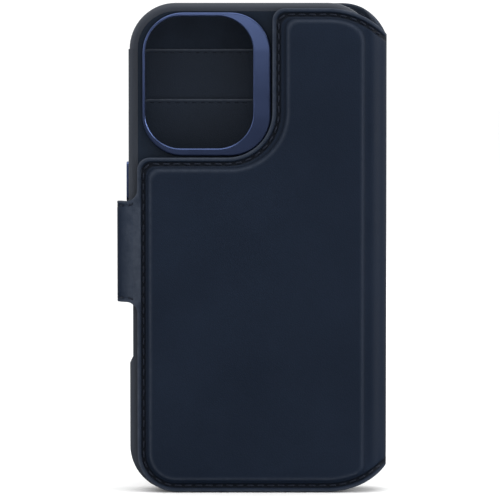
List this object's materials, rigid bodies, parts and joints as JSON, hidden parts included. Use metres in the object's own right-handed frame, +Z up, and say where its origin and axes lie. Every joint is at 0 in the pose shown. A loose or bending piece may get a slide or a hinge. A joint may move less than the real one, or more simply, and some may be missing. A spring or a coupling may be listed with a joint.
{
  "type": "phone wallet case",
  "caption": "Leather folio wallet for a phone: padded back panel with a camera cut-out, spine, front cover with card pockets, magnetic strap and a detachable inner phone case.",
  "frame": {"origin": "centre of the charging port opening in the bottom face of the inner case, on the phone's mid-plane", "axes": "+Z up along the wallet's height as it stands, +Y from the back panel towards the front cover, +X towards the spine"},
  "size_m": [0.0836, 0.0458, 0.1518],
  "materials": {
    "leather": "full-grain navy leather, fine pebble grain, satin",
    "case_leather": "thin navy leather let into the inner case's back",
    "pocket_leather": "thin smooth navy leather",
    "suede": "navy microfibre suede lining",
    "microfibre": "short-nap microfibre",
    "thread": "bonded polyester thread, navy",
    "foam": "thin foam padding",
    "board": "pressed fibre board",
    "stiffener": "thin flexible plastic strip",
    "bumper": "satin soft-touch plastic, dark navy grey",
    "blue_metal": "anodised blue, fine satin",
    "magnet": "nickel-plated magnet",
    "steel": "bright steel sheet"
  },
  "bodies": {
    "wallet_back": {"back_leather": "leather", "back_padding": "foam", "back_board": "board", "back_lining": "suede", "back_stitching": "thread", "wallet_magnet_ring": "magnet", "wallet_alignment_magnet": "magnet"},
    "spine": {"spine_leather": "leather", "spine_stiffener": "stiffener", "spine_lining": "suede"},
    "front_cover": {"cover_leather": "leather", "cover_board": "board", "cover_lining": "suede", "cover_stitching": "thread", "latch_plate": "steel", "cash_pocket": "pocket_leather", "card_pocket_1": "pocket_leather", "card_pocket_2": "pocket_leather", "card_pocket_3": "pocket_leather"},
    "strap": {"strap_leather": "leather", "strap_lining": "suede", "strap_stitching": "thread"},
    "strap_tip": {"tip_leather": "leather", "tip_lining": "suede", "tip_magnets": "magnet", "tip_stitching": "thread"},
    "inner_case": {"case_shell": "bumper", "case_leather": "case_leather", "case_lining": "microfibre", "camera_ring": "blue_metal", "case_magnet_ring": "magnet", "case_alignment_magnet": "magnet"},
    "power_button": {"power_button": "blue_metal"},
    "volume_up_button": {"volume_up_button": "blue_metal"},
    "volume_down_button": {"volume_down_button": "blue_metal"},
    "action_button": {"action_button": "blue_metal"}
  },
  "joints": [
    {"name": "spine_fold", "type": "hinge", "parent": "wallet_back", "child": "spine", "pos_m": [0.03883, -0.00561, 0], "axis": [0, 0, -1], "range_deg": [0, 150]},
    {"name": "cover_fold", "type": "hinge", "parent": "spine", "child": "front_cover", "pos_m": [0.03883, 0.00621, 0], "axis": [0, 0, -1], "range_deg": [0, 150]},
    {"name": "strap_fold", "type": "hinge", "parent": "wallet_back", "child": "strap", "pos_m": [-0.0397, -0.00647, 0], "axis": [0, 0, 1], "range_deg": [0, 100]},
    {"name": "tip_fold", "type": "hinge", "parent": "strap", "child": "strap_tip", "pos_m": [-0.0409, 0.01038, 0], "axis": [0, 0, -1], "range_deg": [-20, 90]},
    {"name": "case_pull", "type": "slide", "parent": "wallet_back", "child": "inner_case", "axis": [0, 0, 1], "range_m": [0, 0.16]},
    {"name": "power_press", "type": "slide", "parent": "inner_case", "child": "power_button", "axis": [1, 0, 0], "range_m": [0, 0.0004], "stiffness_N_per_m": 4000},
    {"name": "volume_up_press", "type": "slide", "parent": "inner_case", "child": "volume_up_button", "axis": [-1, 0, 0], "range_m": [0, 0.0004], "stiffness_N_per_m": 4000},
    {"name": "volume_down_press", "type": "slide", "parent": "inner_case", "child": "volume_down_button", "axis": [-1, 0, 0], "range_m": [0, 0.0004], "stiffness_N_per_m": 4000},
    {"name": "action_press", "type": "slide", "parent": "inner_case", "child": "action_button", "axis": [-1, 0, 0], "range_m": [0, 0.0004], "stiffness_N_per_m": 4000}
  ]
}
